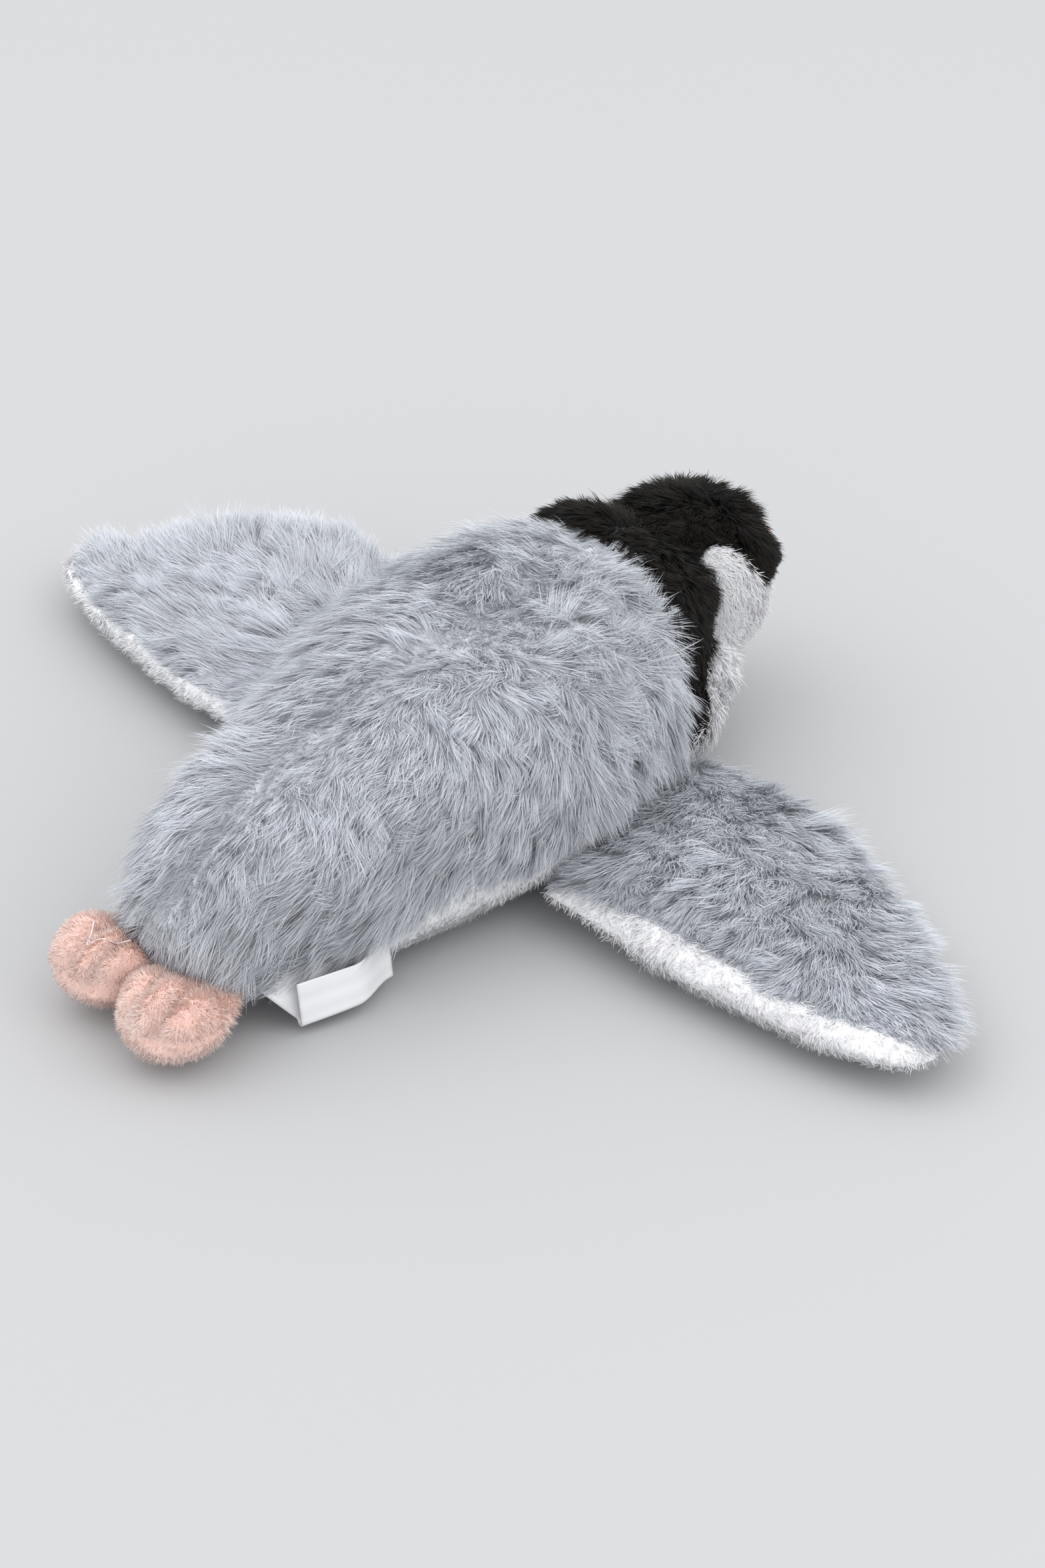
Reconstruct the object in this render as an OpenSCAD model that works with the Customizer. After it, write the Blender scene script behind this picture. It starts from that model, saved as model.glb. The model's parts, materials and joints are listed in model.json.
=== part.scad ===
// Plush penguin chick lying on its belly, flippers spread and head raised.
// +Y points to the head, +X is the toy's own right side, +Z is up.
// The origin is on the flat of the belly, below the middle of the flippers.

/* [Body] */
// Length from the shoulder line back to the rump
body_back = 168; // [130:1:210]
// Length from the shoulder line forward to where the chest closes
body_front = 122; // [100:1:150]
// Width of the body at its widest, outside the pile
body_w = 140; // [115:1:170]
// Height of the back above the floor
body_h = 97; // [78:1:118]
// Height of the widest line of the body above the floor
body_waist = 35; // [28:1:42]
// Height of the chest's foremost point above the floor
chest_h = 43; // [36:1:50]
// Height of the rump's rearmost point above the floor
rump_h = 40; // [32:1:48]
// How far the middle of the body bows towards the toy's left
body_bow = 5; // [0:1:10]
// Squareness of the body's cross-section, 2 is an ellipse
body_square = 2.4; // [2:0.1:3]

/* [Skins] */
// Thickness of the long grey pile with its backing
long_pile = 5; // [3:0.5:7]
// Thickness of the short plush with its backing
short_pile = 3; // [2:0.5:4]
// Gap between neighbouring panels along a seam
seam_gap = 0.3; // [0.2:0.05:0.6]
// Gap between a skin and the stuffing inside it
fill_gap = 0.3; // [0.2:0.05:0.6]

/* [Neck] */
// Distance from the chest's front end back to the grey panels' front edge on top
neck_back = 46; // [38:1:56]
// How far that edge slants back towards the floor
neck_slant = 9; // [0:1:16]
// How far that edge is drawn forward on the left and back on the right
neck_skew = 9; // [0:1:14]

/* [Head] */
// Radius of the head
head_r = 35; // [30:0.5:40]
// Distance from the chest's front end back to the head's centre
head_back = 10; // [2:1:18]
// Height of the head's centre above the floor
head_z = 58; // [50:1:66]
// Turn of the head towards the toy's right side
head_turn = 10; // [0:1:25]
// Clearance between the head and the neck's hollow
head_gap = 0.6; // [0.4:0.1:1.5]

/* [Face] */
// Radius of the white lobe behind the eye
lobe_r = 12; // [8:0.5:15]
// Length of the beak beyond the head
beak_len = 8; // [6:0.5:16]
// Radius of the beak at its root
beak_r = 8; // [5:0.5:11]
// Diameter of an eye's dome
eye_d = 9; // [6:0.5:12]
// Height of the eyes above the head's centre
eye_h = 3; // [0:0.5:8]
// Angle of each eye away from straight ahead
eye_angle = 31; // [25:1:50]
// Diameter of an eye's shank
shank_d = 3.2; // [2:0.1:4]
// Diameter of the washer that locks an eye
washer_d = 10; // [8:0.5:14]
// Thickness of the washer
washer_t = 1.6; // [1:0.1:2.4]

/* [Flippers] */
// Distance of each flipper's hinge line outside the body's widest point
flipper_gap = 2.5; // [2.5:0.5:12]
// Height of the hinge line above the floor
flipper_z = 15; // [15:0.5:22]
// Length of a flipper from its hinge line to its tip
flipper_len = 153; // [110:1:180]
// Width of a flipper at its widest
flipper_w = 104; // [80:1:115]
// Thickness of a flipper at its fullest
flipper_t = 28; // [20:1:30]
// Thickness of a flipper where it is sewn on
flipper_root_t = 12; // [8:1:13]
// Turn of each flipper's hinge line, which follows the narrowing chest
flipper_turn = 8; // [4:1:12]
// How far the tip is swept back from the hinge line's square
flipper_sweep = 43; // [20:1:60]
// Lift of the left flipper at rest
left_lift = 0; // [0:1:12]
// Lift of the right flipper at rest
right_lift = 0; // [0:1:12]
// Turn of the left flipper towards the head at rest
left_forward = 10; // [0:1:12]

/* [Feet] */
// Distance of each foot's inner side from the line between the feet
feet_gap = 0.8; // [0.8:0.2:10]
// Length of a foot behind its hinge line
foot_len = 34; // [26:1:42]
// Width of a foot
foot_w = 36; // [28:1:36]
// Thickness of a foot at its fullest
foot_t = 26; // [18:1:28]
// Thickness of a foot where it is sewn on
foot_root_t = 10; // [6:0.5:11]
// Distance from the rump's end forward to the feet's hinge line
foot_tuck = 3.5; // [0:0.5:3.5]
// Outward turn of each foot
foot_splay = 5; // [0:1:10]
// Diameter of the thread that draws in the toes
thread_d = 0.9; // [0.6:0.1:1.4]

/* [Label] */
// Length of the folded label along the seam
label_l = 40; // [25:1:50]
// Width of the label's ribbon
label_w = 15; // [10:1:16]
// Thickness of the ribbon
label_t = 0.4; // [0.3:0.05:0.6]
// Gap between the ribbon's two leaves
label_open = 4; // [2.5:0.5:5]
// Distance of the label's rear edge behind the shoulder line
label_y = 135; // [110:1:140]
// Height of the label's sewn edge above the floor
label_z = 17; // [16.5:0.5:22]

/* [Hidden] */

$fn = 96;
grey = [0.71, 0.73, 0.77];
black = [0.1, 0.1, 0.09];
white = [0.93, 0.93, 0.94];
pink = [0.98, 0.79, 0.74];
filling = [0.97, 0.96, 0.92];

neck_y = body_front - neck_back;
head_y = body_front - head_back;
flipper_x = body_w / 2 + flipper_gap;
flipper_mid = 9;          // the flippers' middle line lies a little ahead of the shoulder line
foot_x = foot_w / 2 + feet_gap;
foot_y = body_back - foot_tuck;
flipper_seam = 12;        // angle up round the edge to where grey meets white
rest_sink = 3;            // how far the belly's round would pass below the floor
pole = 89;                // the last ring stops just short of each end
side_seam = -28;          // where grey meets white round the body's section
back_seam = 90;
toe_count = 3;
big = 400;                // larger than the toy, for cutting

// ---- Shared geometry ----

function sgn_pow(v, p) = sign(v) * pow(abs(v), p);
function mix(a, b, f) = a + (b - a) * f;
function clamp01(v) = max(0, min(1, v));
function smooth(v) = let(c = clamp01(v)) c * c * (3 - 2 * c);
// How a dimension closes in towards an end, s from 0 at the middle to 1 at the end
function closing(s, k) = sqrt(max(0, 1 - pow(abs(s), k)));

// One grid of points: row i of rows, column j of cols
function flat_grid(g) = [for (row = g) for (p = row) p];

// Faces of a closed shell between an outer and an inner grid of the same size
function shell_faces(rows, cols) =
    let(n = rows * cols, at = function (side, i, j) side * n + i * cols + j)
    concat(
        [for (i = [0 : rows - 2], j = [0 : cols - 2])
            [at(0, i, j), at(0, i, j + 1), at(0, i + 1, j + 1), at(0, i + 1, j)]],
        [for (i = [0 : rows - 2], j = [0 : cols - 2])
            [at(1, i, j), at(1, i + 1, j), at(1, i + 1, j + 1), at(1, i, j + 1)]],
        [for (i = [0 : rows - 2]) [at(0, i, 0), at(0, i + 1, 0), at(1, i + 1, 0), at(1, i, 0)]],
        [for (i = [0 : rows - 2])
            [at(0, i + 1, cols - 1), at(0, i, cols - 1), at(1, i, cols - 1), at(1, i + 1, cols - 1)]],
        [for (j = [0 : cols - 2]) [at(0, 0, j + 1), at(0, 0, j), at(1, 0, j), at(1, 0, j + 1)]],
        [for (j = [0 : cols - 2])
            [at(0, rows - 1, j), at(0, rows - 1, j + 1), at(1, rows - 1, j + 1), at(1, rows - 1, j)]]
    );

// Splits each four-sided face in two so that every face is flat
function split(faces) = [for (f = faces) each [[f[0], f[1], f[2]], [f[0], f[2], f[3]]]];

module shell(outer, inner) {
    polyhedron(concat(flat_grid(outer), flat_grid(inner)),
        split(shell_faces(len(outer), len(outer[0]))), convexity = 6);
}

// Faces of a closed solid made of rings, with a fan at each end
function rings_faces(rows, cols) = concat(
    [for (i = [0 : rows - 2], j = [0 : cols - 1]) let(k = (j + 1) % cols)
        each [[i * cols + j, i * cols + k, (i + 1) * cols + k],
              [i * cols + j, (i + 1) * cols + k, (i + 1) * cols + j]]],
    [[for (j = [cols - 1 : -1 : 0]) j]],
    [[for (j = [0 : cols - 1]) (rows - 1) * cols + j]]
);

module rings(grid) {
    polyhedron(flat_grid(grid), rings_faces(len(grid), len(grid[0])), convexity = 6);
}

// ---- Body ----

// A point on the body: a from -90 at the rump to 90 at the chest, t round the section
function body_point(a, t, inset = 0) =
    let(
        s = sin(a),
        rear = s < 0,
        long = (rear ? body_back : body_front) - inset,
        half_w = (body_w / 2 - inset) * closing(s, rear ? 1.6 : 1.35),
        mid = mix(body_waist, rear ? rump_h : chest_h, s * s),
        bow = body_bow * (1 - pow((long * s - flipper_mid) / body_back, 2)),
        rise = (body_h - mid - inset) * closing(s, rear ? 2.3 : 3),
        sink = inset > 0 ? -inset : rest_sink,
        drop = (mid + sink) * closing(s, rear ? 6.5 : 1.8)
    )
    [
        half_w * sgn_pow(cos(t), 2 / body_square) - bow,
        long * s,
        mid + (t > 180 ? -drop : rise) * pow(abs(sin(t)), 2 / body_square)
    ];

// The angle along the body where grey gives way to the neck, at a place round the section
function neck_angle(t) =
    asin((neck_y - neck_slant * (1 - sin(t)) / 2 - neck_skew * cos(t)) / body_front);

// Where black gives way to white, from low at the grey edge to high at the head
function throat_edge(f) = mix(-14, 46, f);
front_angle = 58;         // the neck pieces reach this far, into the head's hollow

// Angles are wrapped so that the lower half is above 180
function wrap(t) = t < 0 ? t + 360 : t;
function gap_angle(gap) = gap / (body_w / 2) * 60;

module body_shell(t0, t1, thick, a_end, rows, cols, a_start = function (t) -pole) {
    grid = function (inset) [for (i = [0 : rows])
        [for (j = [0 : cols]) let(t = mix(t0(i / rows), t1(i / rows), j / cols))
            body_point(mix(a_start(t), a_end(t), i / rows), wrap(t), inset)]];
    shell(grid(0), grid(thick));
}

head_x = -body_bow * 0.6;  // the neck brings the head part of the way back to the middle

module head_hollow(gap) {
    translate([head_x, head_y, head_z]) sphere(head_r + gap);
}

module floor_cut() {
    translate([-big / 2, -big / 2, -big / 2]) cube([big, big, big / 2]);
}

module back_panel(from, to) {
    color(grey)
    difference() {
        body_shell(function (f) from, function (f) to, long_pile,
            function (t) neck_angle(t) - gap_angle(seam_gap), 22, 12);
        head_hollow(head_gap);
    }
}

module back_panel_right() {
    back_panel(side_seam + gap_angle(seam_gap), back_seam - gap_angle(seam_gap));
}

module back_panel_left() {
    back_panel(back_seam + gap_angle(seam_gap), 180 - side_seam - gap_angle(seam_gap));
}

module belly_panel() {
    color(white)
    difference() {
        body_shell(function (f) 180 - side_seam, function (f) 360 + side_seam, short_pile + rest_sink,
            function (t) neck_angle(t) - gap_angle(seam_gap), 22, 14);
        floor_cut();
    }
}

module neck_band(from, to) {
    color(black)
    difference() {
        body_shell(from, to, long_pile, function (t) front_angle, 10, 10,
            function (t) neck_angle(t) + gap_angle(seam_gap));
        head_hollow(head_gap);
    }
}

module neck_band_right() {
    neck_band(function (f) throat_edge(f) + gap_angle(seam_gap), function (f) back_seam - gap_angle(seam_gap));
}

module neck_band_left() {
    neck_band(function (f) back_seam + gap_angle(seam_gap), function (f) 180 - throat_edge(f) - gap_angle(seam_gap));
}

module throat_panel() {
    color(white)
    difference() {
        body_shell(function (f) 180 - throat_edge(f), function (f) 360 + throat_edge(f), long_pile,
            function (t) front_angle, 10, 18, function (t) neck_angle(t) + gap_angle(seam_gap));
        head_hollow(head_gap);
    }
}

module body_stuffing() {
    inset = max(long_pile, short_pile + rest_sink) + fill_gap;
    color(filling)
    difference() {
        rings([for (a = [-84 : 8 : 84]) [for (t = [0 : 12 : 348]) body_point(a, t, inset)]]);
        head_hollow(head_gap);
    }
}

// ---- Head ----

module head_frame() {
    translate([head_x, head_y, head_z]) rotate([0, 0, -head_turn]) children();
}

// The right half of the head mirrors the left
module head_side(side) {
    head_frame() mirror([side > 0 ? 1 : 0, 0, 0]) children();
}

module head_shell() {
    rotate([0, 0, 90])
    difference() {
        sphere(head_r);
        sphere(head_r - short_pile);
    }
}

// The white of one cheek seen from the side: a lobe behind the eye that runs down to the chin
module cheek_outline(grow = 0) {
    lobe_back = -lobe_r / 3;
    translate([lobe_back, lobe_r + grow / 2]) circle(lobe_r + grow);
    polygon([
        [lobe_back - lobe_r - grow, lobe_r],
        [lobe_back - lobe_r - grow, -head_r - 1],
        [head_r + 1, -head_r - 1],
        [head_r + 1, -1 + grow],
        [lobe_r * 1.4, 1 + grow],
        [lobe_back + lobe_r * 0.9, lobe_r * 1.4 + grow]
    ]);
}

// Everything on the left of the head that lies inside the cheek's outline
module cheek_space(grow = 0) {
    translate([-head_r - 1 - grow, 0, 0]) rotate([90, 0, 90])
        linear_extrude(head_r + 1 - seam_gap / 2 + 2 * grow) cheek_outline(grow);
}

module left_half() {
    translate([-head_r - 1, -head_r - 1, -head_r - 1])
        cube([head_r + 1 - seam_gap / 2, 2 * head_r + 2, 2 * head_r + 2]);
}

module eye_place(side) {
    rotate([0, 0, -side * eye_angle]) rotate([asin(eye_h / head_r), 0, 0]) rotate([-90, 0, 0]) children();
}

module eye_holes(d, depth) {
    for (side = [-1, 1]) eye_place(side) translate([0, 0, head_r - depth]) cylinder(h = depth + 1, d = d);
}

module head_cap(side) {
    color(black) head_side(side)
    difference() {
        intersection() {
            head_shell();
            left_half();
        }
        cheek_space(seam_gap);
        eye_holes(shank_d + 0.2, head_r / 2);
    }
}

module cheek(side) {
    color(white) head_side(side)
    intersection() {
        head_shell();
        cheek_space();
    }
}

module head_cap_left() {
    head_cap(-1);
}

module head_cap_right() {
    head_cap(1);
}

module cheek_left() {
    cheek(-1);
}

module cheek_right() {
    cheek(1);
}

module head_stuffing() {
    pocket = short_pile + washer_t + 4;
    color(filling) head_frame()
    difference() {
        sphere(head_r - short_pile - fill_gap);
        eye_holes(washer_d + 1, pocket);
    }
}

// A round-nosed cone that grows out of the head, split by a level plane into two halves
module beak_body(r, reach) {
    nose = r * 0.35;
    rotate([-90, 0, 0]) rotate_extrude()
        difference() {
            hull() {
                square([r, head_r * 0.9]);
                translate([0, head_r + reach - nose]) circle(nose);
            }
            translate([-r - 1, 0]) square([r + 1, 2 * head_r + reach]);
        }
}

module beak_half(side, r, reach) {
    color(pink) head_frame()
    difference() {
        beak_body(r, reach);
        sphere(head_r + seam_gap / 2);
        translate([-head_r, 0, side > 0 ? -2 * head_r : -seam_gap / 2])
            cube([2 * head_r, 3 * head_r, side > 0 ? 2 * head_r : 2 * head_r]);
    }
}

module beak_upper() {
    beak_half(1, beak_r, beak_len);
}

module beak_lower() {
    beak_half(-1, beak_r * 0.85, beak_len * 0.75);
}

module eye(side) {
    dome_r = eye_d * 0.6;
    flat = sqrt(dome_r * dome_r - eye_d * eye_d / 4);
    shank = short_pile + washer_t + 3;
    color("black") head_frame() eye_place(side) {
        translate([0, 0, head_r - shank + 1]) cylinder(h = shank, d = shank_d);
        translate([0, 0, head_r + 0.8])
        intersection() {
            translate([0, 0, -flat]) sphere(dome_r);
            translate([-eye_d, -eye_d, 0]) cube(2 * eye_d);
        }
    }
}

module eye_left() {
    eye(-1);
}

module eye_right() {
    eye(1);
}

module eye_washer(side) {
    color(white) head_frame() eye_place(side)
        translate([0, 0, head_r - short_pile - 0.8 - washer_t])
        difference() {
            cylinder(h = washer_t, d = washer_d);
            translate([0, 0, -1]) cylinder(h = washer_t + 2, d = shank_d + 0.1);
        }
}

module eye_washer_left() {
    eye_washer(-1);
}

module eye_washer_right() {
    eye_washer(1);
}

// ---- Soft pads: the flippers and the feet ----

// One station of a pad: u along it, half width, half thickness and how far its middle is drawn back
function pad_stations(long, w, t, root_t, sweep, full_at, blunt) =
    let(root = root_t / 2)
    concat(
        [for (a = [10 : 20 : 70]) [-root * cos(a), w / 2 * 0.92, root * sin(a), 0]],
        [for (i = [0 : 13]) let(s = sin(i / 13 * 88.5), u = long * s)
            [u, w / 2 * (0.92 + 0.08 * smooth(s * 3)) * closing(s, blunt),
             mix(root, t / 2, smooth(u / full_at)) * closing(s, 4), sweep * (s + s * s * s) / 2]]
    );

// Points round one station; inset moves the outside in by the thickness of the skin
function pad_ring(st, from, to, cols, inset) =
    let(
        half_w = max(0.3, st[1] - inset),
        half_t = max(0.2, st[2] - min(inset, st[2] * 0.7))
    )
    [for (j = [0 : cols]) let(a = mix(from, to, j / cols))
        [st[0], half_w * sgn_pow(cos(a), 0.85) - st[3], half_t * sgn_pow(sin(a), 0.85)]];

// Skins keep clear of the end stations, so that their inside stays open to the stuffing
module pad_skin(stations, from, to, thick) {
    last = len(stations) - 1;
    squeeze = function (i) i == 0 || i == last ? 0.25 : 1;
    shell([for (i = [last : -1 : 0]) pad_ring(stations[i], from, to, 12, 0)],
          [for (i = [last : -1 : 0]) pad_ring(stations[i], from, to, 12, thick * squeeze(i))]);
}

module pad_fill(stations, thick) {
    last = len(stations) - 1;
    rings([for (i = [last - 1 : -1 : 1]) [for (p = pad_ring(stations[i], 0, 345, 23, thick)) p]]);
}

flipper_stations = pad_stations(flipper_len, flipper_w, flipper_t, flipper_root_t, flipper_sweep, 40, 2.6);
seam_edge = 1;            // each skin stops this angle short of the seam
module flipper_place(side) {
    lift = side > 0 ? right_lift : left_lift;
    turn = flipper_turn + (side > 0 ? 0 : left_forward);
    translate([side * flipper_x - body_bow, flipper_mid, flipper_z])
        mirror([side > 0 ? 0 : 1, 0, 0]) rotate([0, 0, turn]) rotate([0, -lift, 0]) children();
}

module flipper_top(side) {
    edge = flipper_seam + seam_edge;
    color(grey) flipper_place(side) pad_skin(flipper_stations, edge, 180 - edge, long_pile);
}

module flipper_under(side) {
    edge = flipper_seam - seam_edge;
    color(white) flipper_place(side) pad_skin(flipper_stations, 180 - edge, 360 + edge, short_pile);
}

module flipper_stuffing(side) {
    color(filling) flipper_place(side) pad_fill(flipper_stations, long_pile + fill_gap);
}

module flipper_top_left() {
    flipper_top(-1);
}

module flipper_top_right() {
    flipper_top(1);
}

module flipper_under_left() {
    flipper_under(-1);
}

module flipper_under_right() {
    flipper_under(1);
}

module flipper_stuffing_left() {
    flipper_stuffing(-1);
}

module flipper_stuffing_right() {
    flipper_stuffing(1);
}

foot_stations = pad_stations(foot_len, foot_w, foot_t, foot_root_t, 0, 16, 3.2);
foot_z = foot_t / 2 + 3;   // the feet hang from the rump just clear of the floor
feet_shift = -3;          // both sit a little to the left with the bowed body

module foot_place(side) {
    translate([side * foot_x + feet_shift, -foot_y, foot_z])
        rotate([0, 0, -90 + side * foot_splay]) children();
}

// The thread lies in a groove between two toes, from the tip to the middle of the foot
module toe_lines(d) {
    for (i = [1 : toe_count - 1])
        translate([foot_len * 0.45, foot_w * (i / toe_count - 0.5), foot_t / 2 - 1.5])
            rotate([0, 90, 0]) cylinder(h = foot_len * 0.35, d = d, $fn = 24);
}

module foot_top(side) {
    color(pink) foot_place(side)
    difference() {
        pad_skin(foot_stations, seam_edge, 180 - seam_edge, short_pile);
        toe_lines(thread_d + 1.4);
    }
}

module foot_sole(side) {
    color(pink) foot_place(side)
        pad_skin(foot_stations, 180 + seam_edge, 360 - seam_edge, short_pile);
}

module foot_stuffing(side) {
    color(filling) foot_place(side) pad_fill(foot_stations, short_pile + fill_gap);
}

module toe_stitches(side) {
    color(pink) foot_place(side) toe_lines(thread_d);
}

module foot_top_left() {
    foot_top(-1);
}

module foot_top_right() {
    foot_top(1);
}

module foot_sole_left() {
    foot_sole(-1);
}

module foot_sole_right() {
    foot_sole(1);
}

module foot_stuffing_left() {
    foot_stuffing(-1);
}

module foot_stuffing_right() {
    foot_stuffing(1);
}

module toe_stitches_left() {
    toe_stitches(-1);
}

module toe_stitches_right() {
    toe_stitches(1);
}

// ---- Label ----

label_lean = 12;          // it hangs a little outwards from its sewn edge
label_clear = 7;          // from the side seam out to the middle of the loop

// Half width of the body along the side seam, worked out from the same section
function side_at(y) =
    let(a = -asin(y / body_back), p = body_point(a, 360 + side_seam)) p[0];

// The label follows the side seam as the body narrows
label_yaw = atan2(side_at(label_y - label_l) - side_at(label_y), label_l);

// The ribbon's run seen from its end: down, round the fold and up again
module ribbon_run() {
    fold_r = label_open / 2 + label_t;
    straight = label_w - fold_r;
    for (x = [-fold_r, fold_r - label_t]) translate([x, -straight]) square([label_t, straight]);
    difference() {
        translate([0, -straight]) circle(fold_r);
        translate([0, -straight]) circle(fold_r - label_t);
        translate([-label_w, -straight]) square(2 * label_w);
    }
}

module side_label() {
    color(white)
    translate([side_at(label_y) + label_clear, -label_y, label_z])
        rotate([0, 0, -label_yaw]) rotate([0, -label_lean, 0])
        translate([0, label_l, 0]) rotate([90, 0, 0]) linear_extrude(label_l) ribbon_run();
}

back_panel_left();
back_panel_right();
belly_panel();
body_stuffing();
neck_band_left();
neck_band_right();
throat_panel();
head_cap_left();
head_cap_right();
cheek_left();
cheek_right();
head_stuffing();
beak_upper();
beak_lower();
eye_left();
eye_right();
eye_washer_left();
eye_washer_right();
flipper_top_left();
flipper_under_left();
flipper_stuffing_left();
flipper_top_right();
flipper_under_right();
flipper_stuffing_right();
foot_top_left();
foot_sole_left();
foot_stuffing_left();
toe_stitches_left();
foot_top_right();
foot_sole_right();
foot_stuffing_right();
toe_stitches_right();
side_label();
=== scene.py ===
import json
import math

import bpy
import numpy as np
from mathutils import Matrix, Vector
from mathutils.bvhtree import BVHTree
from mathutils.kdtree import KDTree


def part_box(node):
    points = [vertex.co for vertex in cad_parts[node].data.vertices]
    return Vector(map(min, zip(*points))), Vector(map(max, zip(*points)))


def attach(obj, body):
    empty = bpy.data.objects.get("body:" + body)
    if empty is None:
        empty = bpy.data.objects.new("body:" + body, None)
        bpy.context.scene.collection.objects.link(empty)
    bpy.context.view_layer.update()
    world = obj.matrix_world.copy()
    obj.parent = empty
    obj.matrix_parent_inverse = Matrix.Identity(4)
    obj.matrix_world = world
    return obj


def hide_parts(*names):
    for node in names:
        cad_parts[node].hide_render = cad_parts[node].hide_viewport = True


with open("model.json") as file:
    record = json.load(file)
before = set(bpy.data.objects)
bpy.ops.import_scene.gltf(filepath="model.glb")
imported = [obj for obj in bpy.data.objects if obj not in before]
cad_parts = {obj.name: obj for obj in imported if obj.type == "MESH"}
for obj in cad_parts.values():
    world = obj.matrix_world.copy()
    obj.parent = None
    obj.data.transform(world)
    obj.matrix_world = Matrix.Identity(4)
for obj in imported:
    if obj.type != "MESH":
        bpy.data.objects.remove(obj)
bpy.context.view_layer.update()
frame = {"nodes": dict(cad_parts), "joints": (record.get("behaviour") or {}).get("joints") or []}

joints = {joint["name"]: joint for joint in frame["joints"]}
mm = 0.001


# Places that several pieces share, taken from the frame

headCentre = np.array(joints["head_nod"]["pos_m"])
headRight = np.array(joints["head_nod"]["axis"])  # the head's own right
headForward = np.array([-headRight[1], headRight[0], 0.0])
headRadius = float(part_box("head_cap_right")[1].z) - headCentre[2]


# Small helpers

def deselectAll():
    bpy.ops.object.select_all(action="DESELECT")


def activate(piece):
    deselectAll()
    piece.select_set(True)
    bpy.context.view_layer.objects.active = piece


def useModifier(piece, kind, **settings):
    activate(piece)
    bpy.ops.object.modifier_add(type=kind)
    modifier = piece.modifiers[-1]
    for key, value in settings.items():
        setattr(modifier, key, value)
    bpy.ops.object.modifier_apply(modifier=modifier.name)


def pointsOf(piece):
    places = np.empty(len(piece.data.vertices) * 3)
    piece.data.vertices.foreach_get("co", places)
    return places.reshape(-1, 3)


def placePoints(piece, places):
    piece.data.vertices.foreach_set("co", places.ravel())
    piece.data.update()


def normalsOf(piece):
    normals = np.empty(len(piece.data.vertices) * 3)
    piece.data.vertex_normals.foreach_get("vector", normals)
    return normals.reshape(-1, 3)


def edgesOf(piece):
    edges = np.empty(len(piece.data.edges) * 2, np.int32)
    piece.data.edges.foreach_get("vertices", edges)
    return edges.reshape(-1, 2)


def surfaceOf(piece):
    return BVHTree.FromPolygons([v.co for v in piece.data.vertices],
                                [tuple(p.vertices) for p in piece.data.polygons])


def unit(vectors):
    return vectors / np.maximum(np.linalg.norm(vectors, axis=-1, keepdims=True), 1e-9)


def dot(a, b):
    return (a * b).sum(-1, keepdims=True)


def along(vectors, up):
    return unit(vectors - up * dot(vectors, up))  # laid flat on the surface


def smoothStep(values, low, high):
    part = np.clip((values - low) / (high - low), 0, 1)
    return part * part * (3 - 2 * part)


def ripple(places, size, seed):
    rng = np.random.default_rng(seed)
    total = np.zeros(len(places))
    for wave in range(8):
        direction = unit(rng.normal(size=3))
        pitch = 2 * math.pi / size * rng.uniform(0.6, 1.5)
        total += np.sin(places @ direction * pitch + rng.uniform(0, 2 * math.pi))
    return total / 2.0  # smooth, mostly between -1 and 1


def blob(places, centre, size):
    return np.exp(-(((places - np.array(centre)) / np.array(size)) ** 2).sum(1))


def nearestPanel(places, panels):
    trees = []
    for panel in panels:
        node = frame["nodes"][panel].data
        node.calc_loop_triangles()
        corners = [tuple(t.vertices) for t in node.loop_triangles]
        trees.append(BVHTree.FromPolygons([v.co for v in node.vertices], corners))
    far = 1.0
    gaps = np.array([[tree.find_nearest(Vector(p))[3] or far for tree in trees] for p in places])
    return gaps.argmin(1)


# Skins: the backing fabric of each stuffed body, cast from the frame's panels

def castSkin(name, nodes, voxel, rounds):
    deselectAll()
    for node in nodes:
        twin = frame["nodes"][node].copy()
        twin.data = twin.data.copy()
        for key in list(twin.keys()):
            del twin[key]
        twin.parent = None
        bpy.context.collection.objects.link(twin)
        twin.select_set(True)
        bpy.context.view_layer.objects.active = twin
    bpy.ops.object.join()
    skin = bpy.context.object
    skin.name = name
    skin.data.name = name
    skin.data.materials.clear()
    useModifier(skin, "REMESH", mode="VOXEL", voxel_size=voxel)
    useModifier(skin, "SMOOTH", factor=0.5, iterations=rounds)
    return skin


def splitPanels(skin, panels, slots, recut=None):
    owner = nearestPanel(pointsOf(skin), panels)
    if recut:  # moves the seams a little from the frame's
        gap = seamGap(seamTree(skin, np.array(slots)[owner]), pointsOf(skin))
        owner = recut(owner, pointsOf(skin), gap)
    shares = np.eye(len(panels))[owner]
    edges = edgesOf(skin)
    for turn in range(2):  # softens the stair steps along the seams
        total, count = shares.copy(), np.ones(len(shares))
        for a, b in ((0, 1), (1, 0)):
            np.add.at(total, edges[:, a], shares[edges[:, b]])
            np.add.at(count, edges[:, a], 1)
        shares = total / count[:, None]
    return {"panels": panels, "owner": owner, "shares": shares, "slots": slots}


def sewnPoints(skin, owner):
    edges = edgesOf(skin)
    across = owner[edges[:, 0]] != owner[edges[:, 1]]
    sewn = np.zeros(len(owner), bool)
    sewn[edges[across].ravel()] = True
    return sewn


def seamTree(skin, fabric):
    places = pointsOf(skin)[sewnPoints(skin, fabric)]
    tree = KDTree(max(1, len(places)))
    for index, place in enumerate(places):
        tree.insert(place, index)
    tree.balance()
    return tree


def seamGap(tree, places):
    return np.array([tree.find(place)[2] or 0.0 for place in places])


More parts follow.
